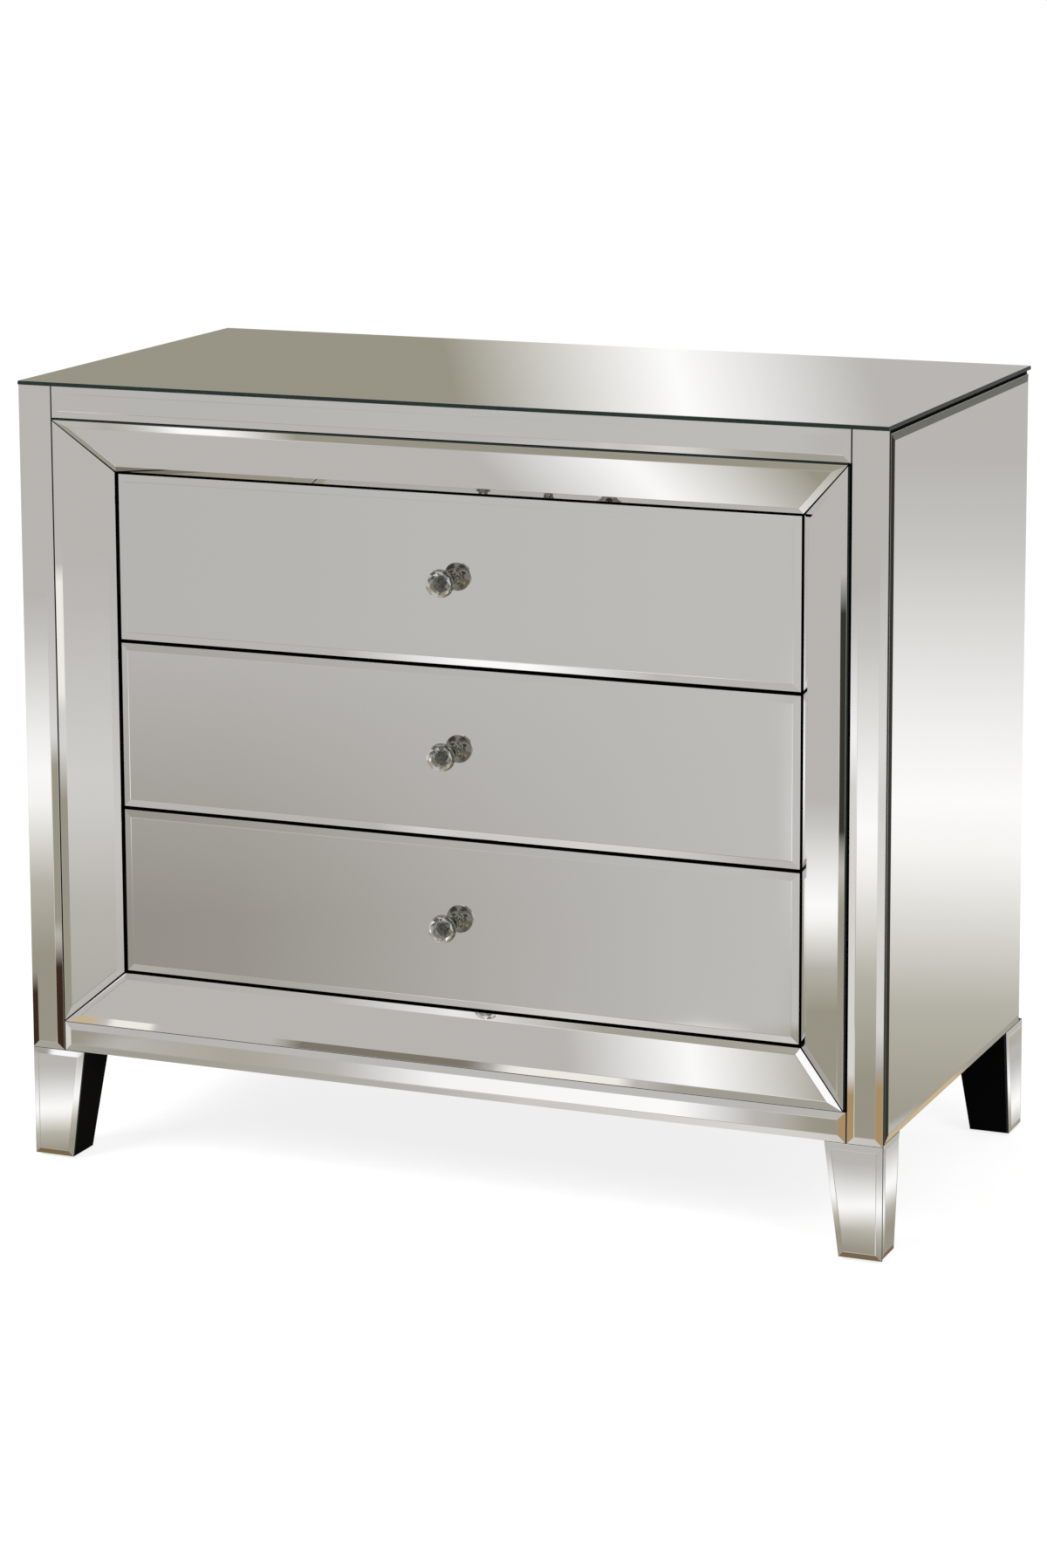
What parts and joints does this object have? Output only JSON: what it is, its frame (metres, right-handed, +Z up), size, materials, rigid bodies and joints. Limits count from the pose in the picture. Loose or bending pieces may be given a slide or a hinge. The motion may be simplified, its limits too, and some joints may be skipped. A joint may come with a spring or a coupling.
{
  "type": "mirrored chest of drawers",
  "caption": "Straight-sided chest of drawers clad in bevelled mirror glass, with inset drawers inside a sloping mirror frame, crystal knobs and tapered feet.",
  "frame": {"origin": "on the floor, under the middle of the whole chest's bounding box", "axes": "+X to the right seen from the front, +Y to the back, +Z up; the drawers face -Y"},
  "size_m": [0.914, 0.483, 0.806],
  "materials": {
    "mirror": "silvered float glass with ground bevels",
    "black_board": "satin black paint on fibreboard",
    "back_board": "black painted hardboard",
    "carcass_wood": "planed softwood",
    "drawer_wood": "clear lacquered",
    "slide_steel": "zinc plated",
    "chrome": "polished chrome plate",
    "crystal": "cut clear glass",
    "nylon": "moulded"
  },
  "bodies": {
    "case": {"top_board": "black_board", "bottom_board": "black_board", "side_board_right": "black_board", "side_board_left": "black_board", "back_panel": "back_board", "face_frame": "black_board", "sloping_moulding": "black_board", "rear_posts": "carcass_wood", "runner_rails": "carcass_wood", "slide_case_members": "slide_steel", "top_mirror": "mirror", "side_mirror_right": "mirror", "side_mirror_left": "mirror", "stile_mirror_right": "mirror", "stile_mirror_left": "mirror", "rail_mirror_top": "mirror", "rail_mirror_bottom": "mirror", "sloping_mirror_bottom": "mirror", "sloping_mirror_right": "mirror", "sloping_mirror_top": "mirror", "sloping_mirror_left": "mirror", "foot_front_right": "black_board", "foot_front_left": "black_board", "foot_rear_right": "black_board", "foot_rear_left": "black_board", "foot_mirrors_front_right": "mirror", "foot_mirrors_front_left": "mirror", "foot_mirrors_rear": "mirror", "foot_bolts": "slide_steel", "foot_glides": "nylon"},
    "drawer_1": {"drawer_1_front": "black_board", "drawer_1_mirror": "mirror", "drawer_1_sides": "drawer_wood", "drawer_1_back": "drawer_wood", "drawer_1_bottom": "drawer_wood", "drawer_1_slide_members": "slide_steel", "drawer_1_knob_base": "chrome", "drawer_1_knob_crystal": "crystal", "drawer_1_knob_screw": "slide_steel"},
    "slide_1_middle": {"slide_1_middle_members": "slide_steel"},
    "drawer_2": {"drawer_2_front": "black_board", "drawer_2_mirror": "mirror", "drawer_2_sides": "drawer_wood", "drawer_2_back": "drawer_wood", "drawer_2_bottom": "drawer_wood", "drawer_2_slide_members": "slide_steel", "drawer_2_knob_base": "chrome", "drawer_2_knob_crystal": "crystal", "drawer_2_knob_screw": "slide_steel"},
    "slide_2_middle": {"slide_2_middle_members": "slide_steel"},
    "drawer_3": {"drawer_3_front": "black_board", "drawer_3_mirror": "mirror", "drawer_3_sides": "drawer_wood", "drawer_3_back": "drawer_wood", "drawer_3_bottom": "drawer_wood", "drawer_3_slide_members": "slide_steel", "drawer_3_knob_base": "chrome", "drawer_3_knob_crystal": "crystal", "drawer_3_knob_screw": "slide_steel"},
    "slide_3_middle": {"slide_3_middle_members": "slide_steel"}
  },
  "joints": [
    {"name": "drawer_1_slide", "type": "slide", "parent": "case", "child": "drawer_1", "axis": [0, -1, 0], "range_m": [0, 0.36]},
    {"name": "slide_1_middle_slide", "type": "slide", "parent": "case", "child": "slide_1_middle", "axis": [0, -1, 0], "range_m": [0, 0.18]},
    {"name": "drawer_2_slide", "type": "slide", "parent": "case", "child": "drawer_2", "axis": [0, -1, 0], "range_m": [0, 0.36]},
    {"name": "slide_2_middle_slide", "type": "slide", "parent": "case", "child": "slide_2_middle", "axis": [0, -1, 0], "range_m": [0, 0.18]},
    {"name": "drawer_3_slide", "type": "slide", "parent": "case", "child": "drawer_3", "axis": [0, -1, 0], "range_m": [0, 0.36]},
    {"name": "slide_3_middle_slide", "type": "slide", "parent": "case", "child": "slide_3_middle", "axis": [0, -1, 0], "range_m": [0, 0.18]}
  ],
  "couplings": [
    {"joint": "slide_1_middle_slide", "follows": "drawer_1_slide", "ratio": 0.5},
    {"joint": "slide_2_middle_slide", "follows": "drawer_2_slide", "ratio": 0.5},
    {"joint": "slide_3_middle_slide", "follows": "drawer_3_slide", "ratio": 0.5}
  ]
}
